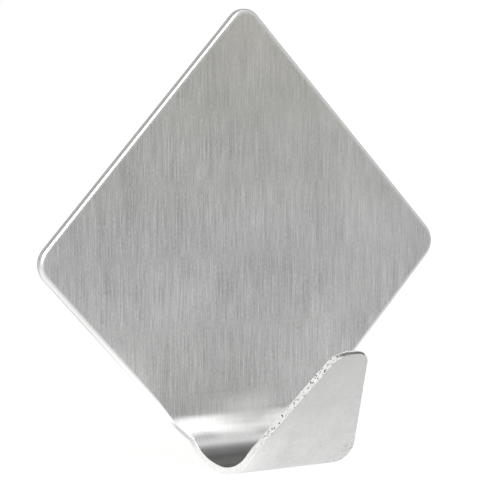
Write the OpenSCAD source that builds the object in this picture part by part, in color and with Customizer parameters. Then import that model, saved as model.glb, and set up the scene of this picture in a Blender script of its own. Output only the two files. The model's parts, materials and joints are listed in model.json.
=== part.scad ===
// Adhesive wall hook. One sheet of steel makes a square plate that stands on its corner, a tongue that bends
// forward out of the plate's lower corner, and a lip that leans out. A double-sided foam pad behind the plate
// holds it to a wall, and a paper liner covers the pad until then.
// Millimetres. +X is to the right, +Z is up and -Y points out of the wall. The origin is the middle of the
// plate's square, on the rear face of the liner.

/* [Plate] */
// Side of the square plate
plate_side = 45; // [38:0.5:60]
// Radius of the plate's rounded corners
corner_radius = 2.7; // [1:0.1:6]
// Thickness of the steel sheet
sheet_thickness = 0.9; // [0.5:0.05:1.2]

/* [Hook] */
// Width of the tongue at the notch, where it leaves the plate's lower corner
tongue_width = 17.6; // [14:0.1:22]
// Drop from the start of the bend to the notch
bend_lead = 3.65; // [1:0.05:4.5]
// Inner radius of the bend, where the hung thing lies
bend_radius = 6.4; // [5:0.1:10]
// Angle by which the lip leans out from upright
lip_lean = 37.6; // [15:0.1:50]
// Width that the tongue loses between the notch and the foot of the lip
tongue_taper = 1.6; // [0:0.1:4]
// Length of the straight lip from its foot to its end
lip_length = 16.7; // [10:0.1:25]
// Width of the lip's end, measured to its corners before they are rounded
tip_width = 4.4; // [4:0.1:9]
// Radius of the two corners at the lip's end
tip_radius = 2.6; // [0.5:0.1:2.6]

/* [Foam pad] */
// Distance from the plate's edge in to the pad's edge
pad_margin = 2.5; // [1:0.1:6]
// Distance from the start of the bend up to the pad's lower edge
pad_lift = 1; // [0.5:0.1:4]
// Radius of the pad's rounded corners
pad_corner_radius = 2; // [0.5:0.1:5]
// Thickness of the foam core
foam_thickness = 0.8; // [0.4:0.05:2]
// Thickness of each film of adhesive
adhesive_thickness = 0.1; // [0.05:0.01:0.2]

/* [Release liner] */
// Thickness of the liner
liner_thickness = 0.1; // [0.05:0.01:0.2]
// Radius of the liner's half-round finger tab, below the pad's lower edge
tab_radius = 6; // [3:0.1:8]

/* [Hidden] */
$fn = 96;

// Half of the plate's diagonal, from its middle to a corner before rounding
half_diagonal = plate_side / sqrt(2);
// Drops below the plate's middle
notch_drop = half_diagonal - tongue_width / 2;
bend_drop = notch_drop - bend_lead;
// The bend's angle, from the plate round to the lip
bend_turn = 180 - lip_lean;
// Places on the bend's inner face, measured from its axis towards the wall
notch_reach = sqrt(pow(bend_radius, 2) - pow(bend_lead, 2));
foot_reach = bend_radius * cos(bend_turn);
// Half of the sheet's width at the notch, at the foot of the lip and at the lip's end
notch_half = tongue_width / 2;
foot_half = notch_half - tongue_taper / 2;
tip_half = tip_width / 2;
// Lengths past the bend's outer face and past the whole hook, for cutting
outer_reach = bend_radius + 2 * sheet_thickness;
far_reach = outer_reach + lip_length;
// Straight steps round the bend, and round each corner of the lip's end
bend_steps = 48;
tip_steps = 10;

// Rear faces of the layers, from the wall forwards
liner_rear = 0;
rear_adhesive_rear = liner_rear - liner_thickness;
foam_rear = rear_adhesive_rear - adhesive_thickness;
front_adhesive_rear = foam_rear - foam_thickness;
sheet_rear = front_adhesive_rear - adhesive_thickness;
sheet_front = sheet_rear - sheet_thickness;

// The pad's square is the plate's, drawn in by the margin, and ends above the bend
pad_side = plate_side - 2 * pad_margin;
pad_drop = bend_drop - pad_lift;

// A square of the given side that stands on its corner, with its corners rounded
module diamond(side, radius) {
    inner = side - 2 * radius;
    rotate(45) {
        square([side, inner], center = true);
        square([inner, side], center = true);
        for (x = [-1, 1], y = [-1, 1])
            translate([x * inner / 2, y * inner / 2])
                circle(r = radius);
    }
}

// The part of such a square that lies above a level edge at the given drop below its middle
module cut_diamond(side, radius, drop) {
    intersection() {
        diamond(side, radius);
        translate([-side, -drop])
            square([2 * side, 2 * side]);
    }
}

// Stands an outline up in the plane of the wall, with its rear face at the given place
module layer(rear, thickness) {
    translate([0, rear, 0])
        rotate([90, 0, 0])
            linear_extrude(thickness)
                children();
}

// Moves a shape from the origin to the bend's axis
module at_bend_axis() {
    translate([0, sheet_front - bend_radius, -bend_drop])
        children();
}

// Lays a shape that is drawn round Z along the bend's axis. Its X then points at the start of the bend, and
// its Y points down.
module round_bend_axis() {
    rotate([-90, 0, 0])
        rotate([0, -90, 0])
            children();
}

// A point in the sheet's side view, from its distance to the bend's axis, its angle round the bend and its
// distance straight on from there
function side_point(reach, turn, on) = [
    reach * cos(turn) - on * sin(turn),
    reach * sin(turn) + on * cos(turn)
];

// One face of the sheet in the side view: down the plate, round the bend and past the lip's end
function side_line(reach) = concat(
    [side_point(reach, 0, -2 * half_diagonal)],
    [for (i = [0:bend_steps]) side_point(reach, bend_turn * i / bend_steps, 0)],
    [side_point(reach, bend_turn, lip_length + sheet_thickness)]
);

// The same points from last to first
function reversed(points) = [for (i = [len(points) - 1:-1:0]) points[i]];

// The bent sheet before it is cut to its outline
module strip() {
    front = side_line(bend_radius);
    rear = side_line(bend_radius + sheet_thickness);
    round_bend_axis()
        linear_extrude(2 * half_diagonal, center = true)
            polygon(concat(front, reversed(rear)));
}

// The plate's outline, which runs on down the bend
module plate_block() {
    layer(outer_reach, outer_reach)
        translate([0, bend_drop])
            diamond(plate_side, corner_radius);
}

// The tongue's outline seen from above: its sides close in from the notch to the foot of the lip
module tongue_block() {
    closing = (notch_half - foot_half) / (notch_reach - foot_reach);
    wall_half = notch_half + closing * (outer_reach + sheet_thickness - notch_reach);
    far_half = foot_half - closing * (far_reach + foot_reach);
    linear_extrude(2 * far_reach, center = true)
        polygon([
            [-wall_half, outer_reach + sheet_thickness],
            [wall_half, outer_reach + sheet_thickness],
            [far_half, -far_reach],
            [-far_half, -far_reach]
        ]);
}

// Points round one corner of the lip's end, about a centre at the given place across the lip
function tip_corner(across, first, last) = [
    for (i = [0:tip_steps])
        let (angle = first + (last - first) * i / tip_steps)
        [across + tip_radius * cos(angle), lip_length + tip_radius * (sin(angle) - 1)]
];

// The lip's outline seen square to it, from a little before its foot: straight sides that close in towards the
// end, whose corners are rounded
module lip_outline() {
    slope = atan((foot_half - tip_half) / lip_length);
    lead = 2 * sheet_thickness;
    lead_half = foot_half + lead * tan(slope);
    flat_half = tip_half - tip_radius / tan((90 + slope) / 2);
    polygon(concat(
        [[-lead_half, -lead], [lead_half, -lead]],
        tip_corner(flat_half, slope, 90),
        tip_corner(-flat_half, 90, 180 - slope)
    ));
}

// What is cut away beside the lip and past its end
module lip_scrap() {
    round_bend_axis()
        rotate([0, 0, bend_turn])
            translate([bend_radius - sheet_thickness, 0, 0])
                rotate([0, 90, 0])
                    linear_extrude(3 * sheet_thickness)
                        difference() {
                            translate([-half_diagonal, -sheet_thickness])
                                square([2 * half_diagonal, lip_length + 3 * sheet_thickness]);
                            lip_outline();
                        }
}

// The pad's outline, which its foam and both films share
module pad_outline() {
    cut_diamond(pad_side, pad_corner_radius, pad_drop);
}

// The bent sheet of steel: plate, bend and lip in one piece
module steel_hook() {
    color([0.67, 0.67, 0.66])
        at_bend_axis()
            difference() {
                intersection() {
                    strip();
                    union() {
                        plate_block();
                        tongue_block();
                    }
                }
                lip_scrap();
            }
}

// The film of adhesive that holds the foam to the steel
module front_adhesive() {
    color([0.93, 0.91, 0.84])
        layer(front_adhesive_rear, adhesive_thickness)
            pad_outline();
}

// The foam core of the pad
module foam_core() {
    color([0.95, 0.95, 0.93])
        layer(foam_rear, foam_thickness)
            pad_outline();
}

// The film of adhesive that will hold the foam to the wall
module rear_adhesive() {
    color([0.93, 0.91, 0.84])
        layer(rear_adhesive_rear, adhesive_thickness)
            pad_outline();
}

// The paper liner over the rear film, with its finger tab
module release_liner() {
    color([0.9, 0.8, 0.55])
        layer(liner_rear, liner_thickness) {
            pad_outline();
            translate([0, -pad_drop])
                circle(r = tab_radius);
        }
}

steel_hook();
front_adhesive();
foam_core();
rear_adhesive();
release_liner();
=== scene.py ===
# %% [markdown]
# An adhesive wall hook in brushed steel. The CAD part is a bent steel sheet, a foam pad with a film of
# adhesive on each side, and a paper liner. It is loaded here as a fixed frame. Each piece is then
# replaced by a finer mesh at the same place, because CAD solids have no rolled edges, torn metal or foam
# cells.

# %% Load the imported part
import json
import math

import bpy
import numpy as np
from mathutils import Matrix, Vector

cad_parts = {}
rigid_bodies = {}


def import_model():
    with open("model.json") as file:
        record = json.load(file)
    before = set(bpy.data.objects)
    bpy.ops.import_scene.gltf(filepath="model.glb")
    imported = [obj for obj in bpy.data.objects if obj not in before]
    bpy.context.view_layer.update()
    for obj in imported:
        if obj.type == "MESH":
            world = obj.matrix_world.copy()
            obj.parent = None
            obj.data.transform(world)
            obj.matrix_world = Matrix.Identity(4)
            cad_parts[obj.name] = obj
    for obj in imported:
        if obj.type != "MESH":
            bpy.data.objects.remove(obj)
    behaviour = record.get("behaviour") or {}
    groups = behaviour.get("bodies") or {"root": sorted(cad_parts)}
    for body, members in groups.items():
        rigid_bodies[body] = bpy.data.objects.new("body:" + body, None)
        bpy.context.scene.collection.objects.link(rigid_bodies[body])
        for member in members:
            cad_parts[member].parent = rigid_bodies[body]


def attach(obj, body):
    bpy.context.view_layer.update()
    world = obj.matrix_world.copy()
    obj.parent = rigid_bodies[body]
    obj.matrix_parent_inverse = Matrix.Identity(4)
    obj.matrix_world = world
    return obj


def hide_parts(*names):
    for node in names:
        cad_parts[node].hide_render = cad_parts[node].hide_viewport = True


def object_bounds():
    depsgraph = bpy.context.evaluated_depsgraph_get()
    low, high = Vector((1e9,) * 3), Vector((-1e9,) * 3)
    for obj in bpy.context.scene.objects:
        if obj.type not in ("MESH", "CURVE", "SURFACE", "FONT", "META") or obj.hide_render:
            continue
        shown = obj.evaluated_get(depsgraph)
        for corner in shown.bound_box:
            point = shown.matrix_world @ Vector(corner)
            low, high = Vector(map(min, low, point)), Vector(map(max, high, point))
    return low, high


for leftover in list(bpy.data.objects):
    bpy.data.objects.remove(leftover)
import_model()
cad_low, cad_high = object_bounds()
# One millimetre in metres
MM = 0.001
print("CAD box in mm:", [round(v / MM, 2) for v in (*cad_low, *cad_high)])

# %% [markdown]
# The camera. The photograph was taken from the left and a little above, from so far off that the plate's
# opposite edges are almost parallel. A camera could be turned by hand until the picture looks right. Here
# its place follows from three angles, a distance and the pixel where a point of the plate falls, so that
# each number means something and can be checked against the photograph.

# %% Place the camera
# Width of the square picture and focal length in pixels, and the sensor's width in millimetres
PICTURE = 480
FOCUS = 3050
SENSOR = 36
# Angles to the left of straight in front, up from level, and of the roll about the line of sight
YAW, PITCH, ROLL = (math.radians(angle) for angle in (36.371, 5.026, -0.061))
# A point of the plate in millimetres, its distance along the line of sight, and the pixel where it falls
AIM = np.array([0, -2.0, -3.182])
DISTANCE = 385.66
AIM_PIXEL = (245.43, 277.49)

back = np.array([-math.sin(YAW) * math.cos(PITCH), -math.cos(YAW) * math.cos(PITCH), math.sin(PITCH)])
level = np.cross(-back, (0, 0, 1))
level /= np.linalg.norm(level)
fall = np.cross(-back, level)
right = math.cos(ROLL) * level + math.sin(ROLL) * fall
down = math.cos(ROLL) * fall - math.sin(ROLL) * level
across, along = ((pixel - PICTURE / 2) * DISTANCE / FOCUS for pixel in AIM_PIXEL)
stand = AIM - across * right - along * down + DISTANCE * back

lens = bpy.data.cameras.new("photo_camera")
lens.sensor_width = SENSOR
lens.lens = FOCUS / PICTURE * SENSOR
lens.clip_start, lens.clip_end = 0.01, 20
camera = bpy.data.objects.new("photo_camera", lens)
bpy.context.scene.collection.objects.link(camera)
axes_and_place = [[right[i], -down[i], back[i], stand[i] * MM] for i in range(3)]
camera.matrix_world = Matrix(axes_and_place + [[0, 0, 0, 1]])
bpy.context.scene.camera = camera
print("camera at", (stand * MM).round(4), "with a lens of", lens.lens, "mm")

# %% [markdown]
# The flat pattern. Before it was bent, the hook was one flat blank cut from sheet: a square on its corner
# that narrows at a notch into a tongue. Its shape is given here as the right half of its outline, in
# millimetres: x across, and s down the front face from the middle of the plate. Working on the flat blank
# keeps the edges and the brushing right when the sheet is bent, as on the real one.

# %% Sizes of the sheet
# Side of the square plate, radius of its corners, and thickness of the sheet
SIDE, CORNER, THICK = 45.0, 2.7, 0.9
# Half widths of the tongue at the notch, past it and at the foot of the lip, and how far past the notch
NOTCH_HALF, NECK_HALF, FOOT_HALF = 8.8, 8.15, 8.0
NECK_DROP = 5
# How far above the notch the bend starts, its inner radius, and the lean of the lip from upright in degrees
BEND_LEAD, BEND_RADIUS, LIP_LEAN = 3.65, 6.4, 37.6
BEND_ANGLE = math.radians(180 - LIP_LEAN)
# Length of the lip, half width of its end, and radius of the end's corners
LIP_LENGTH, TIP_HALF, TIP_RADIUS = 16.7, 2.2, 2.6
# Radii at the notch, past it and at the foot of the lip, where the outline changes its course
NOTCH_RADIUS, NECK_RADIUS, FOOT_RADIUS = 0.45, 12, 3
# Thickness of the liner, of each film of adhesive and of the foam
LINER, FILM, FOAM = 0.1, 0.1, 0.8

# Front faces of the layers, from the wall forwards
LINER_FRONT = -LINER
REAR_FILM_FRONT = LINER_FRONT - FILM
FOAM_FRONT = REAR_FILM_FRONT - FOAM
FRONT_FILM_FRONT = FOAM_FRONT - FILM
FRONT = FRONT_FILM_FRONT - THICK
# Half of the plate's diagonal, and places down the sheet
HALF = SIDE / math.sqrt(2)
NOTCH = HALF - NOTCH_HALF
BEND_START = NOTCH - BEND_LEAD
LIP_FOOT = BEND_START + BEND_RADIUS * BEND_ANGLE
LIP_END = LIP_FOOT + LIP_LENGTH
print("mm down to the notch, lip foot and lip end:", [round(v, 2) for v in (NOTCH, LIP_FOOT, LIP_END)])

# %% Trace an outline with rounded corners
# Steps on the last straight run of an outline, which ends on the middle line
END_STEPS = 8


def unit(v):
    """A vector of length 1 in the same direction."""
    return v / np.linalg.norm(v)


def rounded_outline(corners, radii, steps):
    """Points down the right half of an outline, with the unit normals that point out of it.

    Each corner is swapped for an arc that touches both sides: its centre lies on the corner's bisector at
    radius / sin(half angle). A straight run joins each arc to the next. The two steps of a corner are how
    far apart the points lie on the run before it and on its arc. Points left of the middle are dropped.
    """
    corners = np.array(corners, float)
    points, normals, start = [], [], corners[0]
    for before, corner, after, radius, step in zip(corners, corners[1:], corners[2:], radii, steps):
        u, v = unit(before - corner), unit(after - corner)
        half = math.acos(np.clip(u @ v, -1, 1)) / 2
        centre = corner + unit(u + v) * radius / math.sin(half)
        first, last = corner + u * radius / math.tan(half), corner + v * radius / math.tan(half)
        outward = np.array([-u[1], u[0]])
        bulges = np.sign((first - centre) @ outward)
        a, b = (math.atan2(*(p - centre)[::-1]) for p in (first, last))
        sweep = (b - a + math.pi) % (2 * math.pi) - math.pi
        count = max(1, round(np.linalg.norm(first - start) / step[0]))
        points.append(start + (first - start) * np.linspace(0, 1, count, endpoint=False)[:, None])
        normals.append(np.tile(outward, (count, 1)))
        angle = a + sweep * np.linspace(0, 1, 2 * math.ceil(abs(sweep) * radius / step[1] / 2) + 1)
        spokes = np.stack([np.cos(angle), np.sin(angle)], 1)
        points.append(centre + radius * spokes)
        normals.append(bulges * spokes)
        start = last
    end_run = np.linspace(0, 1, END_STEPS + 1)[1:, None]
    points.append(start + (corners[-1] - start) * end_run)
    direction = unit(corners[-1] - start)
    normals.append(np.tile([direction[1], -direction[0]], (len(end_run), 1)))
    points, normals = np.concatenate(points), np.concatenate(normals)
    kept = points[:, 0] > -1e-9
    points, normals = points[kept], normals[kept]
    points[[0, -1], 0] = 0
    normals[[0, -1], 0] = 0
    return points, normals


PLATE_STEP, NOTCH_STEP, TONGUE_STEP = (0.6, 0.1), (0.3, 0.06), (0.08, 0.08)
plate_corners = [(-HALF, 0), (0, -HALF), (HALF, 0)]
tongue_corners = [(NOTCH_HALF, NOTCH), (NECK_HALF, NOTCH + NECK_DROP), (FOOT_HALF, LIP_FOOT)]
blank, blank_out = rounded_outline(
    plate_corners + tongue_corners + [(TIP_HALF, LIP_END), (0, LIP_END)],
    [CORNER, CORNER, NOTCH_RADIUS, NECK_RADIUS, FOOT_RADIUS, TIP_RADIUS],
    [PLATE_STEP, PLATE_STEP, NOTCH_STEP, TONGUE_STEP, TONGUE_STEP, TONGUE_STEP],
)
print("outline of the blank:", len(blank), "points")

# %% [markdown]
# A sheet from its outline. A face could be filled and then given a thickness, but the filled triangles
# would be long and thin. Here the right half is a grid with a row for each point of the outline. A row
# starts on the middle line of the front face and runs out to the edge, through the cut and back along the
# rear face. The left half is made in the same way and mirrored, and points that meet on the middle line
# are welded.

# %% Lay out half a sheet as a grid
def sheet_grid(outline, normals, middle, inset, share, depth):
    """Flat places (x, s, depth) on a grid of outline points by profile columns.

    Place = (1 - share) * (outline - inset * normal) + share * (0, middle): inset moves a column in from the
    edge, and share moves it on towards the middle line.
    """
    edge = outline[:, None, :] - inset[..., None] * normals[:, None, :]
    spine = np.stack([np.zeros_like(middle), middle], 1)[:, None, :]
    flat = (1 - share[:, None]) * edge + share[:, None] * spine
    return np.concatenate([flat, depth[..., None]], 2)


def grid_faces(rows, columns, first=0):
    """Four corners of each cell of a grid, numbered row by row."""
    corner = first + np.arange(rows - 1)[:, None] * columns + np.arange(columns - 1)
    return np.stack([corner, corner + columns, corner + columns + 1, corner + 1], 2).reshape(-1, 4)


def run_along(outline):
    """How far along the outline each of its points lies."""
    return np.concatenate([[0], np.cumsum(np.linalg.norm(np.diff(outline, axis=0), axis=1))])


run = run_along(blank)
print("edge of the blank's right half:", round(run[-1], 1), "mm")

# %% Join two halves into a closed mesh
# Millimetres that one unit of the flat map spans, and the angle from which an edge stays sharp
MAP_SPAN = 100
SHARP_ANGLE = math.radians(50)


def weld(places, faces):
    """Merges places that agree to a ten-thousandth of a millimetre.

    A face that loses a corner becomes a triangle. Gives the numbers of the places to keep, the faces with
    four corners, those with three, and which of the given faces they were.
    """
    _, keep, number = np.unique(np.round(places * 1e4), axis=0, return_index=True, return_inverse=True)
    faces = number.reshape(-1)[faces]
    doubled = faces == np.roll(faces, -1, 1)
    whole, short = doubled.sum(1) == 0, doubled.sum(1) == 1
    return keep, faces[whole], faces[short][~doubled[short]].reshape(-1, 3), whole, short


def sheet_mesh(name, halves, place, zones, rim):
    """Joins two half grids into one closed mesh and moves it to its place.

    Each zone of columns gets a material number. The mesh keeps its flat places, how far in from the outline
    its points lie, and a map of the flat sheet.
    """
    rows, columns, _ = halves[0].shape
    flat = np.concatenate([half.reshape(-1, 3) for half in halves])
    faces = np.concatenate([grid_faces(rows, columns), grid_faces(rows, columns, rows * columns)[:, ::-1]])
    zone = np.tile(zones, 2 * (rows - 1))
    rims = np.tile(np.broadcast_to(rim, (rows, columns)).reshape(-1), 2)
    keep, quads, triangles, whole, short = weld(flat, faces)
    flat, rims = flat[keep], rims[keep]
    mesh = bpy.data.meshes.new(name)
    mesh.from_pydata(place(flat) * MM, [], quads.tolist() + triangles.tolist())
    mesh.polygons.foreach_set("material_index", np.concatenate([zone[whole], zone[short]]))
    flat_places = mesh.attributes.new("flat", "FLOAT_VECTOR", "POINT")
    flat_places.data.foreach_set("vector", flat.astype("f").ravel())
    rim_places = mesh.attributes.new("rim", "FLOAT", "POINT")
    rim_places.data.foreach_set("value", rims.astype("f"))
    corner = np.zeros(len(mesh.loops), "i")
    mesh.loops.foreach_get("vertex_index", corner)
    map_places = flat[corner, :2] / MAP_SPAN + 0.5
    mesh.uv_layers.new(name="blank").data.foreach_set("uv", map_places.astype("f").ravel())
    mesh.polygons.foreach_set("use_smooth", np.ones(len(mesh.polygons), bool))
    mesh.set_sharp_from_angle(angle=SHARP_ANGLE)
    piece = bpy.data.objects.new(name, mesh)
    bpy.context.scene.collection.objects.link(piece)
    print(name, len(mesh.vertices), "points,", len(quads) * 2 + len(triangles), "triangles")
    return piece


# %% [markdown]
# The cut edge. A punch drags the front edge of the sheet down before it cuts, which leaves a soft rolled
# rim. Below the rim, the cut is first smooth and then torn. A bevel would round the rim but could not
# tear the metal, so the edge is a profile of its own, and seeded noise pushes the torn part in and out.
# The tear is coarse on the narrow tongue and fine on the plate, as in the photograph.

# %% Sizes of the cut edge
# How far in from the outline the grid still follows it, and two columns between there and the rim
BAND = 1.3
STRIP = (0.95, 0.75)
# On the plate: width of the rim's slope, its steepest tilt, the radius of its nose, and the slope's columns
# as a share of the rim's
ROLL_WIDTH, ROLL_TILT, NOSE, SLOPE_SHARE = 0.52, math.radians(30), 0.15, 0.6
# On the tongue: radius of the rim along the sides and at the lip's end
SIDE_ROUND, END_ROUND = 0.06, 0.6
# The plate's rim turns into the tongue's over this length, which starts a little above the bend
EASE_LEAD, EASE_LENGTH = 1, 2.5
# How far a normal points down the sheet where the lip's end begins, and the range until it is fully there
END_FACING, FACING_RANGE = 0.6, 0.3
# Chamfer behind the cut, and the rear's columns in from there
CHAMFER = 0.08
REAR_STRIP = np.array([CHAMFER, 0.18, 0.4, 0.8])
# Reach of the tear on the plate, and what it gains on the tongue over a length that starts past the notch
FINE_TEAR, COARSE_TEAR = 0.004, 0.045
TEAR_LEAD, TEAR_LENGTH = 4, 12
# Half width of the cut at the lip's end, where the tear is fine too
END_CUT_HALF = 2.4
# Share of the wall above the tear, share over which it grows, and how far the torn part lies in
SMOOTH_SHARE, GROW_SHARE, TEAR_INSET = 0.12, 0.4, 0.02
# Sizes of the tear's lumps and crumbs, along the edge and into it
LUMP, CRUMB = (0.45, 0.3), (0.16, 0.12)

# Columns across each face, and on the front strip, the rim, the wall and the rear strip between the faces
FACE_COUNT, STRIP_COUNT, ROLL_COUNT, WALL_COUNT, REAR_COUNT = 12, 2, 12, 12, 4
starts = np.cumsum([FACE_COUNT, STRIP_COUNT, ROLL_COUNT, WALL_COUNT, REAR_COUNT])
strip, roll, wall, rear_strip = (slice(*ends) for ends in zip(starts, starts[1:]))
face_share = np.linspace(1, 0, FACE_COUNT)
profile_share = np.concatenate([face_share, np.zeros(starts[-1] - FACE_COUNT), face_share[::-1]])
on_tongue = np.clip((blank[:, 1] - BEND_START + EASE_LEAD) / EASE_LENGTH, 0, 1)[:, None]
at_end = np.clip((blank_out[:, 1] - END_FACING) / FACING_RANGE, 0, 1) * (blank[:, 1] > LIP_FOOT)
tongue_round = SIDE_ROUND + (END_ROUND - SIDE_ROUND) * at_end[:, None]
print("edge profile:", len(profile_share), "columns at each of", len(blank), "points")

# %% Profile of the cut edge
def lattice_noise(u, v, seed):
    """Smooth noise from 0 to 1: random heights at whole numbers, blended between by 3 f f - 2 f f f."""
    heights = np.random.default_rng(seed).random((512, 64))
    tall, wide = heights.shape
    i, j = np.floor(u).astype(int), np.floor(v).astype(int)
    f, g = u - i, v - j
    f, g = f * f * (3 - 2 * f), g * g * (3 - 2 * g)
    near = heights[i % tall, j % wide] * (1 - f) + heights[(i + 1) % tall, j % wide] * f
    far = heights[i % tall, (j + 1) % wide] * (1 - f) + heights[(i + 1) % tall, (j + 1) % wide] * f
    return near * (1 - g) + far * g


def edge_profile(seed):
    """How far in from the outline and how deep each column lies, for every outline point.

    On the plate the rim drops along a parabola until it tilts by 30 degrees, and a small round nose turns it
    on to 90. On the tongue it is a quarter circle, tiny along the sides and large at the end. The wall then
    goes straight back. Its tear is size * (two sizes of noise - 1), which grows with depth and along the
    tongue.
    """
    inset = np.full((len(blank), len(profile_share)), BAND)
    depth = np.zeros_like(inset)
    inset[:, strip] = STRIP
    roll_part = np.linspace(0, 1, ROLL_COUNT)
    slope_part = np.clip(roll_part / SLOPE_SHARE, 0, 1)
    nose_part = np.clip((roll_part - SLOPE_SHARE) / (1 - SLOPE_SHARE), 0, 1)
    nose_turn = ROLL_TILT + (math.pi / 2 - ROLL_TILT) * nose_part
    plate_in = ROLL_WIDTH * (1 - slope_part) + NOSE * (1 - np.sin(nose_turn))
    slope_drop = ROLL_WIDTH * math.tan(ROLL_TILT) / 2 * slope_part ** 2
    plate_drop = slope_drop + NOSE * (math.cos(ROLL_TILT) - np.cos(nose_turn))
    quarter = roll_part * math.pi / 2
    inset[:, roll] = (1 - on_tongue) * plate_in + on_tongue * tongue_round * (1 - np.sin(quarter))
    depth[:, roll] = (1 - on_tongue) * plate_drop + on_tongue * tongue_round * (1 - np.cos(quarter))
    down_wall = np.linspace(0, 1, WALL_COUNT + 1)[1:]
    roll_depth = depth[:, roll][:, -1:]
    depth[:, wall] = roll_depth + (THICK - CHAMFER - roll_depth) * down_wall
    depth[:, rear_strip.start:] = THICK
    u, v = np.broadcast_arrays(run[:, None], depth[:, wall])
    lumps = lattice_noise(u / LUMP[0], v / LUMP[1], seed)
    crumbs = lattice_noise(u / CRUMB[0], v / CRUMB[1], seed + 1)
    coarse = np.clip((blank[:, 1] - NOTCH - TEAR_LEAD) / TEAR_LENGTH, 0, 1) * (blank[:, 0] > END_CUT_HALF)
    size = FINE_TEAR + COARSE_TEAR * coarse
    torn = np.clip((down_wall - SMOOTH_SHARE) / GROW_SHARE, 0, 1)
    inset[:, wall] = TEAR_INSET * torn - size[:, None] * torn * (lumps + crumbs - 1)
    inset[:, rear_strip] = inset[:, wall][:, -1:] + REAR_STRIP
    return inset, depth


# One seed for the right half and one for the left
edges = [edge_profile(seed) for seed in (11, 23)]
print("deepest tear:", round(max(inset[:, wall].max() for inset, _ in edges), 3), "mm in from the outline")

# %% [markdown]
# The bend. A press brake turns the tongue round a bar. The blank is measured on its front face, so each
# flat place moves to where its length lands there: straight down the plate, round the arc, and straight
# on along the lip. This is one formula over the whole array, so no part of the mesh has to be cut and
# turned by itself.

# %% Bend the sheet
# How far above the lip's end its rows start, on the outline and on the middle line
TIP_ROWS, TIP_RISE = 2.5, 6


def bent(flat):
    """Places of the bent sheet.

    Turn = (s - bend start) / radius, held between 0 and the full bend. The place on the front face is the
    arc up to that turn plus what is left straight on, and depth goes along the sheet's rear normal.
    """
    x, s, depth = flat.T
    turn = np.clip((s - BEND_START) / BEND_RADIUS, 0, BEND_ANGLE)
    rest = np.maximum(s - LIP_FOOT, 0)
    y = FRONT - BEND_RADIUS * (1 - np.cos(turn)) - rest * np.sin(turn) + depth * np.cos(turn)
    z = -np.minimum(s, BEND_START) - BEND_RADIUS * np.sin(turn) - rest * np.cos(turn) - depth * np.sin(turn)
    return np.stack([x, y, z], 1)


# Rows join the outline to the middle line, from these places on the one to these on the other
inner_marks = (0, NOTCH, LIP_FOOT, LIP_END - TIP_ROWS)
outline_marks = [0, *(run[np.argmin(abs(blank[:, 1] - s))] for s in inner_marks), run[-1]]
middle_marks = [blank[0, 1] + BAND, 0, NOTCH, LIP_FOOT, LIP_END - TIP_RISE, LIP_END - BAND]
middle = np.interp(run, outline_marks, middle_marks)
halves = [sheet_grid(blank, blank_out, middle, inset, profile_share, depth) for inset, depth in edges]
halves[1][..., 0] *= -1
# Cells of each row that are brushed front, rolled rim, cut edge with its chamfer, and rear
zone_cells = [FACE_COUNT + STRIP_COUNT, ROLL_COUNT - 1, WALL_COUNT + 1, REAR_COUNT + FACE_COUNT - 1]
zones = np.repeat([0, 1, 2, 3], zone_cells)
rim_place = np.where(profile_share > 0, BAND, edges[0][0])
steel = sheet_mesh("steel_sheet", halves, bent, zones, rim_place)
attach(steel, "hook")
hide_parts("steel_hook")

# %% [markdown]
# The pad and the liner. Die-cut foam tape has square cut sides that swell a little, since the knife
# squeezes the foam and it springs back. The films of adhesive are thinner than the foam and end just
# inside its cut. The liner is paper with a half-round tab for a finger. All four could be boxes cut to
# shape, but the outline and grid of the steel serve here too and give clean sides.

# %% Outlines of the pad and the liner
# Distance from the plate's edge in to the pad's, and from the bend up to the pad's lower edge
PAD_MARGIN, PAD_LIFT = 2.5, 1
# Radii of the pad's corners and of the ends of its lower edge
PAD_CORNER, PAD_END_RADIUS = 2, 0.8
# Reach of the tab, radius of its corners, and radius where it leaves the lower edge
TAB, TAB_CORNER, TAB_ROOT = 6, 5.6, 0.4
PAD_STEP, PAD_END_STEP, TAB_ROOT_STEP, TAB_STEP = (0.5, 0.12), (0.5, 0.1), (0.3, 0.06), (0.3, 0.15)

PAD_HALF = (SIDE - 2 * PAD_MARGIN) / math.sqrt(2)
PAD_END = BEND_START - PAD_LIFT
pad_corners = [(-PAD_HALF, 0), (0, -PAD_HALF), (PAD_HALF, 0), (PAD_HALF - PAD_END, PAD_END)]
pad_radii = [PAD_CORNER, PAD_CORNER, PAD_END_RADIUS]
pad_steps = [PAD_STEP, PAD_STEP, PAD_END_STEP]
pad, pad_out = rounded_outline(pad_corners + [(0, PAD_END)], pad_radii, pad_steps)
paper, paper_out = rounded_outline(
    pad_corners + [(TAB, PAD_END), (TAB, PAD_END + TAB), (0, PAD_END + TAB)],
    pad_radii + [TAB_ROOT, TAB_CORNER],
    pad_steps + [TAB_ROOT_STEP, TAB_STEP],
)
print("outlines of", len(pad), "points for the pad and", len(paper), "for the liner")

# %% Make the pad and the liner
# How far in from the outline the grid still follows it
PAD_BAND = 0.7
# How far above a layer's end the rows of its lower edge start, on the outline and on the middle line
LOWER_EDGE, LOWER_RISE = 0.5, 5
# Columns across each face and through the side
FACE_COLUMNS, SIDE_COLUMNS = 8, 9
# Swell of the foam's side, and how far the sides of the foam and the films lie inside the outline
FOAM_SWELL, FOAM_INSET, FILM_INSET = 0.07, 0.05, 0.06
# Share of the way to a face from which the side is eased in, and by how much of the thickness
EASE_FROM, EASE_IN = 0.8, 0.35


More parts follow.
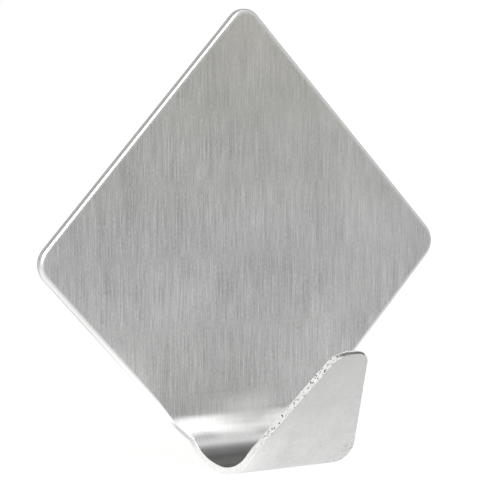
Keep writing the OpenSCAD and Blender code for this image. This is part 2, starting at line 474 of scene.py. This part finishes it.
def slab(name, outline, normals, front, thick, swell, draw_in, end):
    """A flat layer from its front face back, whose outline ends at the given place down the sheet.

    Its side is drawn in and swells by swell * (1 - t * t) with t from -1 to 1 through its thickness. Near
    both faces it is eased in by a share of the thickness * (|t| - the place where the easing starts).
    """
    def stood_up(flat):
        """Places of the flat layer, stood up in front of the wall."""
        return np.stack([flat[:, 0], front + flat[:, 2], -flat[:, 1]], 1)

    t = np.linspace(-1, 1, SIDE_COLUMNS)
    side_in = draw_in - swell * (1 - t * t) + EASE_IN * thick * np.clip(abs(t) - EASE_FROM, 0, 1)
    face_in = np.full(FACE_COLUMNS, PAD_BAND)
    column_in = np.concatenate([face_in, side_in, face_in])
    front_depth, rear_depth = np.zeros(FACE_COLUMNS), np.full(FACE_COLUMNS, thick)
    column_depth = np.concatenate([front_depth, thick * (t + 1) / 2, rear_depth])
    columns = np.linspace(1, 0, FACE_COLUMNS)
    share = np.concatenate([columns, np.zeros(SIDE_COLUMNS), columns[::-1]])
    inset = np.tile(column_in, (len(outline), 1))
    depth = np.tile(column_depth, (len(outline), 1))
    length = run_along(outline)
    foot = length[np.argmax(outline[:, 1] > end - LOWER_EDGE)]
    spine = np.interp(
        length,
        [0, length[np.argmin(abs(outline[:, 1]))], foot, length[-1]],
        [outline[0, 1] + PAD_BAND, 0, end - LOWER_RISE, outline[-1, 1] - PAD_BAND],
    )
    half = sheet_grid(outline, normals, spine, inset, share, depth)
    one_zone = np.zeros(len(share) - 1, int)
    rim = np.where(share > 0, PAD_BAND, inset)
    return sheet_mesh(name, [half, half * [-1, 1, 1]], stood_up, one_zone, rim)


front_film = slab("front_film", pad, pad_out, FRONT_FILM_FRONT, FILM, 0.0, FILM_INSET, PAD_END)
foam = slab("foam_pad", pad, pad_out, FOAM_FRONT, FOAM, FOAM_SWELL, FOAM_INSET, PAD_END)
rear_film = slab("rear_film", pad, pad_out, REAR_FILM_FRONT, FILM, 0.0, FILM_INSET, PAD_END)
liner = slab("liner_paper", paper, paper_out, LINER_FRONT, LINER, 0.0, 0.0, PAD_END + TAB)
for piece, solid, slot, body in (
    (front_film, "front_adhesive", "adhesive", "hook"),
    (foam, "foam_core", "foam", "hook"),
    (rear_film, "rear_adhesive", "adhesive", "hook"),
    (liner, "release_liner", "liner_paper", "liner"),
):
    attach(piece, body)
    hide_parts(solid)

# %% [markdown]
# Shared patterns. Three node groups are each used by several finishes: drawn-out lines for brushing,
# ripples and paper fibres, soft clouds for handling and uneven tone, and small specks for pits and
# scuffs. They read the flat places in millimetres that the meshes carry, so a pattern bends with the
# sheet and its sizes are real ones.

# %% Add nodes and draw lines
def node(tree, kind, sockets=None, **settings):
    """Adds a node. A socket that is given is linked, and any other value is typed in."""
    made = tree.nodes.new(kind)
    for name, value in settings.items():
        setattr(made, name, value)
    for name, value in (sockets or {}).items():
        if isinstance(value, bpy.types.NodeSocket):
            tree.links.new(value, made.inputs[name])
        else:
            made.inputs[name].default_value = value
    return made


def maths(tree, operation, *values):
    """One step of arithmetic on values, such as MULTIPLY."""
    return node(tree, "ShaderNodeMath", dict(enumerate(values)), operation=operation).outputs[0]


def three_parts(tree, vector):
    """The three parts of a vector. Those of a flat place are millimetres across, down and into the sheet."""
    return node(tree, "ShaderNodeSeparateXYZ", {0: vector}).outputs


def spread(tree, value, low, high, to_low=0.0, to_high=1.0):
    """Stretches a value from one range to another and holds it there."""
    sockets = {"Value": value, "From Min": low, "From Max": high, "To Min": to_low, "To Max": to_high}
    return node(tree, "ShaderNodeMapRange", sockets).outputs["Result"]


def pattern_group(name, sizes):
    """Starts a node group that reads a vector and some sizes and puts out one value."""
    tree = bpy.data.node_groups.new(name, "ShaderNodeTree")
    tree.interface.new_socket(name="Flat place", in_out="INPUT", socket_type="NodeSocketVector")
    for size in sizes:
        tree.interface.new_socket(name=size, in_out="INPUT", socket_type="NodeSocketFloat")
    tree.interface.new_socket(name="Value", in_out="OUTPUT", socket_type="NodeSocketFloat")
    return tree, tree.nodes.new("NodeGroupInput").outputs, tree.nodes.new("NodeGroupOutput").inputs


# Noise squeezed across and drawn out down the sheet. Place picks another slice of it.
lines, given, put = pattern_group("drawn_lines", ["Lines per mm", "Length in mm", "Place"])
across_sheet, down_sheet, _ = three_parts(lines, given["Flat place"])
squeezed = maths(lines, "MULTIPLY", across_sheet, given["Lines per mm"])
drawn_out = maths(lines, "DIVIDE", down_sheet, given["Length in mm"])
drawn = node(lines, "ShaderNodeCombineXYZ", {"X": squeezed, "Y": drawn_out, "Z": given["Place"]}).outputs[0]
grain = node(lines, "ShaderNodeTexNoise", {"Vector": drawn, "Scale": 1.0, "Detail": 3.0, "Roughness": 0.6})
lines.links.new(spread(lines, grain.outputs["Fac"], 0.28, 0.72), put["Value"])
print("sizes of", lines.name, "are", [socket.name for socket in given if socket.name][1:])

# %% Clouds and specks
def noise_at_size(tree, given, detail, roughness):
    """Noise over the flat places, with lumps about as wide as the group's size in millimetres."""
    size = node(tree, "ShaderNodeCombineXYZ", {axis: given["Size in mm"] for axis in "XYZ"}).outputs[0]
    scaled = node(tree, "ShaderNodeVectorMath", {0: given["Flat place"], 1: size}, operation="DIVIDE")
    sockets = {"Vector": scaled.outputs[0], "Scale": 1.0, "Detail": detail, "Roughness": roughness}
    return node(tree, "ShaderNodeTexNoise", sockets).outputs["Fac"]


clouds, given, put = pattern_group("soft_clouds", ["Size in mm"])
clouds.links.new(spread(clouds, noise_at_size(clouds, given, 4.0, 0.55), 0.3, 0.7), put["Value"])

# The level that this noise hardly ever passes, and how far above its limit a speck is fully there
TOP_LEVEL, SPECK_FADE = 0.78, 0.06
specks, given, put = pattern_group("small_specks", ["Size in mm", "Cover"])
limit = maths(specks, "SUBTRACT", TOP_LEVEL, given["Cover"])
above = maths(specks, "SUBTRACT", noise_at_size(specks, given, 2.0, 0.5), limit)
specks.links.new(spread(specks, above, 0.0, SPECK_FADE), put["Value"])
print("pattern groups:", [group.name for group in bpy.data.node_groups])

# %% [markdown]
# Finishes. Every finish is one shader, and patterns vary its colour and mostly its roughness and dents
# too. A mark, such as a rubbed patch, has limits across and down the sheet and lies over the plain metal
# like a coat of paint. It could be painted on a picture, but limits in millimetres are sharp at any size
# and easy to change.

# %% Material helpers
def finish(name, **constants):
    """A new material: its tree, its shader with the constants typed in, and the piece's flat places."""
    material = bpy.data.materials.new(name)
    material.use_nodes = True
    tree = material.node_tree
    shader = tree.nodes["Principled BSDF"]
    for socket, value in constants.items():
        shader.inputs[socket.replace("_", " ")].default_value = value
    flat = node(tree, "ShaderNodeAttribute", attribute_name="flat").outputs["Vector"]
    return material, tree, shader, flat


def pattern(tree, group, flat, **sizes):
    """Places a pattern group with its own sizes and gives its value."""
    placed = node(tree, "ShaderNodeGroup", node_tree=group)
    tree.links.new(flat, placed.inputs["Flat place"])
    for size, value in sizes.items():
        placed.inputs[size.replace("_", " ")].default_value = value
    return placed.outputs["Value"]


def grey(level, warmth=0.005):
    """A grey that lacks a little blue, as steel does."""
    return level, level, level - warmth


def blend(tree, share, low, high):
    """A colour between two, by a share from 0 to 1."""
    made = node(tree, "ShaderNodeMix", {0: share}, data_type="RGBA")
    for socket, value in ((made.inputs[6], low), (made.inputs[7], high)):
        if isinstance(value, bpy.types.NodeSocket):
            tree.links.new(value, socket)
        else:
            socket.default_value = (*value, 1)
    return made.outputs[2]


def layered(tree, colour, *marks):
    """Lays marks over a colour in turn, each by its own share and in its own colour."""
    for share, mark in marks:
        colour = blend(tree, share, colour, mark)
    return colour


def bump(tree, shader, height, strength, distance):
    """Dents the surface by a height, with the distance in metres."""
    made = node(tree, "ShaderNodeBump", {"Height": height, "Strength": strength, "Distance": distance})
    tree.links.new(made.outputs["Normal"], shader.inputs["Normal"])


print("middle grey of steel:", grey(0.5))

# %% Limits of marks
def sum_of(tree, *weighted):
    """Adds values, each times its weight."""
    total = 0.0
    for value, weight in weighted:
        total = maths(tree, "MULTIPLY_ADD", value, weight, total)
    return total


def product_of(tree, *values):
    """Multiplies values, so that a mark shows only where all its limits do."""
    total = values[0]
    for value in values[1:]:
        total = maths(tree, "MULTIPLY", total, value)
    return total


def between(tree, value, start, full, fade, gone):
    """1 from full to fade, and falling to 0 at start and at gone."""
    return product_of(tree, spread(tree, value, start, full), spread(tree, value, fade, gone, 1, 0))


def past(tree, down_sheet, mark):
    """Millimetres past a mark down the sheet, and less than 0 before it."""
    return maths(tree, "SUBTRACT", down_sheet, mark)


print("mm along the bend from its start to the foot of the lip:", round(LIP_FOOT - BEND_START, 2))

# %% [markdown]
# Brushed steel. An abrasive belt draws fine lines down the sheet. Each line is a tiny groove, so a
# reflection is smeared across the lines and stays sharp along them. Modelling the grooves would take
# millions of faces. The shader's anisotropy smears the reflection instead. Lines of three lengths, wide
# bands and a broad haze shade the metal as the grooves do. The brushing is calmer towards the top right
# and is ironed in the bend. The top of the plate is hazy and a little warm, and its colour is also painted
# darker there, as painted shade against the brighter light it mirrors.

# %% Brushing on the front
brushed, tree, shader, flat = finish("brushed_front", Metallic=1.0, Anisotropic=0.97)
short_lines = pattern(tree, lines, flat, Lines_per_mm=10.5, Length_in_mm=0.45)
middle_lines = pattern(tree, lines, flat, Lines_per_mm=10.0, Length_in_mm=3.0, Place=5.0)
long_lines = pattern(tree, lines, flat, Lines_per_mm=9.5, Length_in_mm=9.0, Place=3.0)
bands = pattern(tree, lines, flat, Lines_per_mm=0.45, Length_in_mm=20.0, Place=7.0)
haze = pattern(tree, clouds, flat, Size_in_mm=13.0)
brush_weights = ((short_lines, 0.23), (middle_lines, 0.27), (long_lines, 0.29), (bands, 0.1), (haze, 0.11))
tone = sum_of(tree, *brush_weights)

across_sheet, down_sheet, _ = three_parts(tree, flat)
past_bend = past(tree, down_sheet, BEND_START)
past_foot = past(tree, down_sheet, LIP_FOOT)
ironed = spread(tree, past_bend, 0.3, 2.0, 0, 0.65)
to_top_right = sum_of(tree, (across_sheet, 0.6), (down_sheet, -1.0))
calm_share = sum_of(tree, (ironed, 1.0), (spread(tree, to_top_right, 4, 24, 0, 0.3), 1.0))
calm = node(tree, "ShaderNodeMix", {0: calm_share, 2: tone, 3: 0.5}, data_type="FLOAT").outputs[0]
tree.links.new(sum_of(tree, (calm, 0.1), (ironed, 0.08), (0.32, 1.0)), shader.inputs["Roughness"])

across_lines = node(tree, "ShaderNodeTangent", direction_type="UV_MAP", uv_map="blank").outputs[0]
tree.links.new(across_lines, shader.inputs["Tangent"])
bump(tree, shader, long_lines, strength=0.12, distance=0.00003)
steel.data.materials.append(brushed)
print(brushed.name, "has", len(tree.nodes), "nodes before its colours")

# %% [markdown]
# Marks on the front. Besides the haze at the top, these marks are painted light and shade in the metal's
# colour. The start of the bend has a painted glow, and the white band below it is painted darker on its
# right half, as painted shade, with a painted lighter strip after it. The bottom of the bend has painted
# shade, and the inside of the lip is painted bright. A painted reflection lies as a pale patch by the lower
# left edge, and the plate is painted a little lighter on its right. Each mark is a pair of metal colours
# for dark and light lines, so the brushing runs on through it.

# %% Colours and marks of the front
plain = blend(tree, calm, grey(0.088, 0.0005), grey(0.918, 0.004))
# Partly a real haze and warmth, and partly painted shade that darkens the top of the plate.
hazed_and_shaded = blend(tree, calm, (0.11, 0.108, 0.101), (0.772, 0.762, 0.714))
# Painted light: the lighter metal for the glow at the bend's start, the lighter strip, the painted
# reflection and the lighter right side.
painted_light = blend(tree, calm, (0.62, 0.618, 0.61), (0.98, 0.977, 0.967))
# Painted shade for the right half of the white band in the bend.
shaded_metal = blend(tree, calm, (0.072, 0.071, 0.07), (0.74, 0.738, 0.73))
# Painted shade for the bottom of the bend.
bend_shade_metal = blend(tree, calm, (0.08, 0.08, 0.079), (0.295, 0.294, 0.291))
# Painted light for the inside of the lip.
lit_lip_metal = blend(tree, calm, (0.7, 0.698, 0.69), (0.96, 0.957, 0.947))

# Where the top of the plate gets its haze and its painted shade.
top = spread(tree, down_sheet, -4, -28)
# Painted light: the right of the plate is a little lighter.
lit_right_side = spread(tree, across_sheet, 6, 20, 0, 0.07)
# Painted highlight: a pale glow at the start of the bend, above the white band.
glow_rows = between(tree, past_bend, -2, 1, 1.2, 2.1)
glow_above_band = product_of(tree, glow_rows, between(tree, across_sheet, -9, -1, 1, 6))
# Painted shade: the right half of the white band in the bend is darker.
shaded_band_rows = between(tree, past_bend, 1.9, 2.3, 3.0, 3.4)
shaded_band_half = product_of(tree, shaded_band_rows, spread(tree, across_sheet, -3.5, 0))
# Painted light: a lighter strip below the white band in the bend.
eased_rows = between(tree, past_bend, 2.9, 3.3, 3.7, 4.2)
eased = product_of(tree, eased_rows, between(tree, across_sheet, -6, -4, 0, 2), 0.42)
# Painted reflection: a pale patch by the lower left edge, where the plate mirrors the lip.
from_left_edge = sum_of(tree, (across_sheet, 1.0), (down_sheet, -1.0), (HALF, 1.0))
reflection_rows = between(tree, down_sheet, 9.5, 12.5, 15, 18.5)
lip_reflection = product_of(tree, reflection_rows, spread(tree, from_left_edge, 5, 1), 0.3)
# Painted shade: the bottom of the bend is darker.
bend_shade = product_of(tree, spread(tree, past_bend, 4.7, 6.8), spread(tree, past_foot, -3, 0, 1, 0))
# Painted light: the inside of the lip is brighter.
lit_lip_inside = spread(tree, past_foot, -1, 2)

front_marks = (
    (top, hazed_and_shaded),
    (lit_right_side, painted_light),
    (glow_above_band, painted_light),
    (shaded_band_half, shaded_metal),
    (eased, painted_light),
    (lip_reflection, painted_light),
    (bend_shade, bend_shade_metal),
    (lit_lip_inside, lit_lip_metal),
)
tree.links.new(layered(tree, plain, *front_marks), shader.inputs["Base Color"])
print(brushed.name, "has", len(front_marks), "marks over its plain metal")

# %% [markdown]
# The rolled rim. The punch presses the rim smooth, so it has no brushed lines and mirrors more sharply
# than the face. On the upper edges its outer part is a rough grey burr. Much of its colour is painted
# light and shade. Along the upper left it mirrors the large lamp, so its metal is painted darker there. It
# is painted brighter along the lower left and near the notch, as painted highlights, and painted lighter at
# the lip's end so that it shows no dark reflection. Towards the face it is painted darker, as painted
# shade. One colour would do for a wider rim, but a rim this narrow is read by its tone alone.

# %% Rolled rim of the sheet
rolled, tree, shader, flat = finish("rolled_rim", Metallic=1.0)
smears = pattern(tree, clouds, flat, Size_in_mm=0.8)
from_edge = node(tree, "ShaderNodeAttribute", attribute_name="rim").outputs["Fac"]
across_sheet, down_sheet, _ = three_parts(tree, flat)
# Painted light and shade along the left: darker on the upper left, where it mirrors the large lamp, and
# brighter on the lower left.
left_light_and_shade = blend(tree, spread(tree, down_sheet, -2.5, 0), grey(0.24), grey(0.79))
burr = product_of(tree, spread(tree, from_edge, 0.2, 0.1), spread(tree, down_sheet, 0, -3))
# The brighter stretch near the notch is a painted highlight, the burr is the rim's own grey, the lighter
# lip's end is painted light, and the darker grey towards the face is painted shade.
rim_marks = (
    (spread(tree, across_sheet, -1, -4), left_light_and_shade),
    (spread(tree, past(tree, down_sheet, NOTCH), -15, -6), grey(0.95)),
    (burr, grey(0.34)),
    (spread(tree, past(tree, down_sheet, LIP_END), -2.2, -1.6), grey(0.74)),
    (spread(tree, from_edge, 0.15, 0.62), (0.46, 0.459, 0.455)),
)
rim_metal = layered(tree, blend(tree, smears, grey(0.58), grey(0.68)), *rim_marks)
tree.links.new(rim_metal, shader.inputs["Base Color"])
tree.links.new(sum_of(tree, (smears, 0.05), (burr, 0.3), (0.2, 1.0)), shader.inputs["Roughness"])
steel.data.materials.append(rolled)
print(rolled.name, "has", len(rim_marks), "marks")

# %% [markdown]
# The finish of the cut edge. Its colour carries painted highlights: the cut is painted brighter near the
# notch and along the tongue than round the plate, with a plain grey stretch just above the notch. The lip
# has dark pits. The chamfer behind the lip's cut is painted greyer, as painted shade over a glint, and the
# cut at the lip's end is painted dark, as painted shade. The pits could be dents in the mesh as well, but
# they are a third of a millimetre wide, and dark specks do for them.

# %% Cut edge of the sheet
sheared, tree, shader, flat = finish("sheared_edge", Metallic=1.0)
streaks = pattern(tree, clouds, flat, Size_in_mm=0.35)
_, down_sheet, depth_in = three_parts(tree, flat)
past_notch = past(tree, down_sheet, NOTCH)
on_lip = spread(tree, past(tree, down_sheet, LIP_FOOT), 0.5, 4)
pits = product_of(tree, pattern(tree, specks, flat, Size_in_mm=0.3, Cover=0.2), on_lip)
# Painted shade: the chamfer behind the lip's cut is greyer, so that it does not glint.
chamfer = product_of(tree, spread(tree, depth_in, THICK - CHAMFER, THICK - 0.05), on_lip)
# Painted shade: the cut at the lip's end is dark.
shaded_end_cut = spread(tree, past(tree, down_sheet, LIP_END), -0.7, -0.3)
# Painted highlights: the cut is brighter near the notch and along the tongue.
edge_marks = (
    (spread(tree, past_notch, -15, -6), grey(0.96)),
    (spread(tree, past_notch, -2.6, -1.8), grey(0.6)),
    (spread(tree, past_notch, -0.5, 1.5), blend(tree, streaks, grey(0.74, 0.01), grey(0.95, 0.01))),
    (pits, grey(0.12)),
    (chamfer, grey(0.5)),
    (shaded_end_cut, blend(tree, streaks, grey(0.12, 0), grey(0.19))),
)
edge_metal = layered(tree, blend(tree, streaks, grey(0.61), grey(0.71)), *edge_marks)
tree.links.new(edge_metal, shader.inputs["Base Color"])
tree.links.new(sum_of(tree, (streaks, 0.2), (0.3, 1.0)), shader.inputs["Roughness"])
bump(tree, shader, streaks, strength=0.2, distance=0.00008)
steel.data.materials.append(sheared)
print(sheared.name, "has", len(edge_marks), "marks")

# %% [markdown]
# The rear of the sheet. It keeps the mill's own finish: satin and a little cloudy, with a fine grit and a
# few specks from handling. It shows on the outside of the bend and the lip. The lip is painted darker
# towards its end, as painted shade, and the left side of the bend is painted lighter, as a painted
# highlight. The bend's lower right corner is scuffed. Clouds of three sizes make the finish, because a
# single size would look like a printed pattern.

# %% Rear of the sheet
milled, tree, shader, flat = finish("mill_rear", Metallic=1.0)
cloud = pattern(tree, clouds, flat, Size_in_mm=3.0)
mottle = pattern(tree, clouds, flat, Size_in_mm=0.6)
grit = pattern(tree, clouds, flat, Size_in_mm=0.22)
handling = pattern(tree, specks, flat, Size_in_mm=0.45, Cover=0.14)
corner_specks = pattern(tree, specks, flat, Size_in_mm=0.4, Cover=0.27)
tone = sum_of(tree, (cloud, 0.35), (mottle, 0.3), (grit, 0.35))
across_sheet, down_sheet, _ = three_parts(tree, flat)
past_foot = past(tree, down_sheet, LIP_FOOT)
into_bend = spread(tree, past(tree, down_sheet, BEND_START), 4, 8)
left_side = spread(tree, across_sheet, -3, -8)
# Painted highlight: the left side of the bend is lighter.
lit_left_bend = product_of(tree, left_side, spread(tree, past_foot, 5, 0, 0, 0.42), into_bend)
right_corner = product_of(tree, spread(tree, across_sheet, 5, 7.2), between(tree, past_foot, -8, -5, 0, 2))
scuffs = product_of(tree, corner_specks, right_corner)
# The lip is painted darker towards its end, as painted shade. The specks are the sheet's own handling marks
# and scuffs.
rear_marks = (
    (spread(tree, past_foot, 0, LIP_LENGTH, 0, 0.6), grey(0.42)),
    (lit_left_bend, grey(0.95)),
    (sum_of(tree, (handling, 0.35), (scuffs, 0.6)), grey(0.3)),
)
rear_metal = layered(tree, blend(tree, tone, grey(0.475), grey(0.67)), *rear_marks)
tree.links.new(rear_metal, shader.inputs["Base Color"])
tree.links.new(sum_of(tree, (tone, 0.12), (0.32, 1.0)), shader.inputs["Roughness"])
bump(tree, shader, mottle, strength=0.05, distance=0.00005)
steel.data.materials.append(milled)
print("steel finishes:", [material.name for material in steel.data.materials])

# %% [markdown]
# Foam, adhesive and paper. White closed-cell foam shows cut cells on its sides. The adhesive is clear, a
# little yellow and shiny, with a faint ripple from coating. It lies on white foam, so a pale yellow coat
# does for it. Release paper is rolled hard and coated, so it has a slight gloss over its fibres. Each
# finish is a pattern of its own at its real size over a plain shader.

# %% Foam of the pad
white_foam, tree, shader, flat = finish("white_foam", Roughness=0.85)
cells = node(tree, "ShaderNodeTexVoronoi", {"Vector": flat, "Scale": 5.0}).outputs["Distance"]
foam_white = blend(tree, spread(tree, cells, 0.1, 0.7), (0.78, 0.78, 0.76), (0.9, 0.9, 0.885))
tree.links.new(foam_white, shader.inputs["Base Color"])
bump(tree, shader, cells, strength=0.5, distance=0.00008)
foam.data.materials.append(white_foam)
print("foam finish:", white_foam.name)

# %% Films of adhesive
clear_film, tree, shader, flat = finish("clear_adhesive", IOR=1.47)
ripple = pattern(tree, lines, flat, Lines_per_mm=0.8, Length_in_mm=9.0)
cloud = pattern(tree, clouds, flat, Size_in_mm=2.5)
tree.links.new(blend(tree, cloud, (0.8, 0.77, 0.66), (0.86, 0.84, 0.75)), shader.inputs["Base Color"])
tree.links.new(sum_of(tree, (cloud, 0.1), (0.12, 1.0)), shader.inputs["Roughness"])
bump(tree, shader, ripple, strength=0.15, distance=0.0001)
front_film.data.materials.append(clear_film)
rear_film.data.materials.append(clear_film)
print("film finish:", clear_film.name, "on", clear_film.users, "films")

# %% Paper of the liner
release_paper, tree, shader, flat = finish("release_paper")
fibres = pattern(tree, lines, flat, Lines_per_mm=1.6, Length_in_mm=2.5)
cloud = pattern(tree, clouds, flat, Size_in_mm=1.6)
tone = sum_of(tree, (fibres, 0.4), (cloud, 0.6))
tree.links.new(blend(tree, tone, (0.72, 0.6, 0.36), (0.84, 0.73, 0.48)), shader.inputs["Base Color"])
tree.links.new(sum_of(tree, (cloud, 0.15), (0.32, 1.0)), shader.inputs["Roughness"])
bump(tree, shader, tone, strength=0.1, distance=0.00005)
liner.data.materials.append(release_paper)
print("liner finish:", release_paper.name)

# %% [markdown]
# Light. Bare metal shows what stands round it, so the light is also the picture on the steel. A tall soft
# box in front gives the white band in the bend and the white line on the upper left rim. A small one
# higher up on the right lights the grey band below the white one. More lamps could light every patch by
# itself, but they would show as stripes in the steel.

# %% Soft boxes
def softbox(name, azimuth, elevation, distance, wide, high, power):
    """A rectangular lamp that faces the hook. Azimuth 0 is straight in front and 90 is to the right."""
    lamp = bpy.data.lights.new(name, "AREA")
    lamp.shape = "RECTANGLE"
    lamp.size, lamp.size_y, lamp.energy = wide, high, power
    a, e = math.radians(azimuth), math.radians(elevation)
    way = Vector((math.sin(a) * math.cos(e), -math.cos(a) * math.cos(e), math.sin(e)))
    held = bpy.data.objects.new(name, lamp)
    bpy.context.scene.collection.objects.link(held)
    held.location = way * distance
    held.rotation_euler = way.to_track_quat("Z", "Y").to_euler()


softbox("key_softbox", azimuth=-4, elevation=23.5, distance=1.2, wide=0.48, high=0.755, power=10.9)
softbox("upper_softbox", azimuth=35, elevation=58, distance=0.6, wide=0.32, high=0.17, power=0.46)
print("lamps:", [lamp.name for lamp in bpy.data.lights])

# %% [markdown]
# The room. White walls give the plain grey of the plate. The ceiling fades to grey and the wall behind is
# greyer, so that the steel has darker parts to show. The room could be built of walls, but a world needs
# no mesh and lights from every side. It is white to the camera, since the photograph is cut out on white,
# and a plain fill for rays that only light.

# %% White room
def seen(tree):
    """1 for a ray that shows the thing it meets: from the camera, a reflection or through glass."""
    path = node(tree, "ShaderNodeLightPath").outputs
    shown = path["Is Camera Ray"]
    for kind in ("Is Glossy Ray", "Is Transmission Ray"):
        shown = maths(tree, "MAXIMUM", shown, path[kind])
    return shown


def to_camera(tree):
    """1 for a ray that comes straight from the camera."""
    return node(tree, "ShaderNodeLightPath").outputs["Is Camera Ray"]


WHITE = grey(1, 0)
world = bpy.data.worlds.new("white_room")
world.use_nodes = True
bpy.context.scene.world = world
tree = world.node_tree
tree.nodes.clear()
rightward, backward, upward = three_parts(tree, node(tree, "ShaderNodeTexCoord").outputs["Generated"])
ceiling = spread(tree, sum_of(tree, (upward, 1.0), (rightward, 0.05)), 0.73, 1.03)
behind = product_of(tree, spread(tree, backward, 0.6, 0.8), spread(tree, upward, 0.03, 0.1))
room_marks = (
    (ceiling, grey(0.2, 0)),
    (behind, grey(0.58, 0)),
    (to_camera(tree), WHITE),
)
walls = layered(tree, WHITE, *room_marks)
fill = node(tree, "ShaderNodeBackground", {"Color": (*WHITE, 1), "Strength": 0.4}).outputs[0]
shown_walls = node(tree, "ShaderNodeBackground", {"Color": walls, "Strength": 1.0}).outputs[0]
room = node(tree, "ShaderNodeMixShader", {0: seen(tree), 1: fill, 2: shown_walls}).outputs[0]
node(tree, "ShaderNodeOutputWorld", {"Surface": room})
bpy.context.scene.view_settings.view_transform = "Standard"
print(world.name, "has", len(tree.nodes), "nodes")

# %% [markdown]
# The floor. The photograph is cut out on white, so the floor is a plain white disc under the bend. Lit
# paint alone would come out grey, and more light would spoil the steel. The floor therefore gives off
# white of its own to the camera. Reflections see it glow as a painted pool of light, white near the hook
# and fading to grey further out. A faint paint under both still takes the shadow of the hook.

# %% Floor
# Radius of the floor, its points, and how far it lies below the hook, in metres
FLOOR_RADIUS, FLOOR_POINTS, FLOOR_GAP = 3, 96, 0.00005
turns = np.linspace(0, 2 * math.pi, FLOOR_POINTS, endpoint=False)
floor_level = np.full(FLOOR_POINTS, cad_low.z - FLOOR_GAP)
ring = np.stack([FLOOR_RADIUS * np.cos(turns), FLOOR_RADIUS * np.sin(turns), floor_level], 1)
disc = bpy.data.meshes.new("floor")
disc.from_pydata(ring, [], [list(range(FLOOR_POINTS))])
floor = bpy.data.objects.new("floor", disc)
bpy.context.scene.collection.objects.link(floor)
print("floor at", round(ring[0, 2], 5), "m")

# %% Paint of the floor
# Distances from the hook, in metres, at which the painted pool of light starts to fade and is gone
POOL_START, POOL_END = 0.06, 0.22
paint = bpy.data.materials.new("white_floor")
paint.use_nodes = True
tree = paint.node_tree
tree.nodes.clear()
lit = node(tree, "ShaderNodeBsdfDiffuse", {"Color": (*grey(0.8, 0), 1)}).outputs[0]
faint = node(tree, "ShaderNodeBsdfDiffuse", {"Color": (*grey(0.25, 0), 1)}).outputs[0]
spot = node(tree, "ShaderNodeNewGeometry").outputs["Position"]
far = node(tree, "ShaderNodeVectorMath", {0: spot}, operation="LENGTH").outputs["Value"]
outward = spread(tree, far, POOL_START, POOL_END)
# Painted pool of light: for reflections the floor glows white near the hook and grey further out.
light_pool = blend(tree, outward, grey(0.96, 0), grey(0.57, 0))
paper_white = blend(tree, outward, grey(0.9, 0), grey(0.98, 0))
shown = blend(tree, to_camera(tree), light_pool, paper_white)
glow = node(tree, "ShaderNodeEmission", {"Color": shown, "Strength": 1.0}).outputs[0]
glowing = node(tree, "ShaderNodeAddShader", {0: faint, 1: glow}).outputs[0]
surface = node(tree, "ShaderNodeMixShader", {0: seen(tree), 1: lit, 2: glowing}).outputs[0]
node(tree, "ShaderNodeOutputMaterial", {"Surface": surface})
disc.materials.append(paint)
print("floor finish:", paint.name)
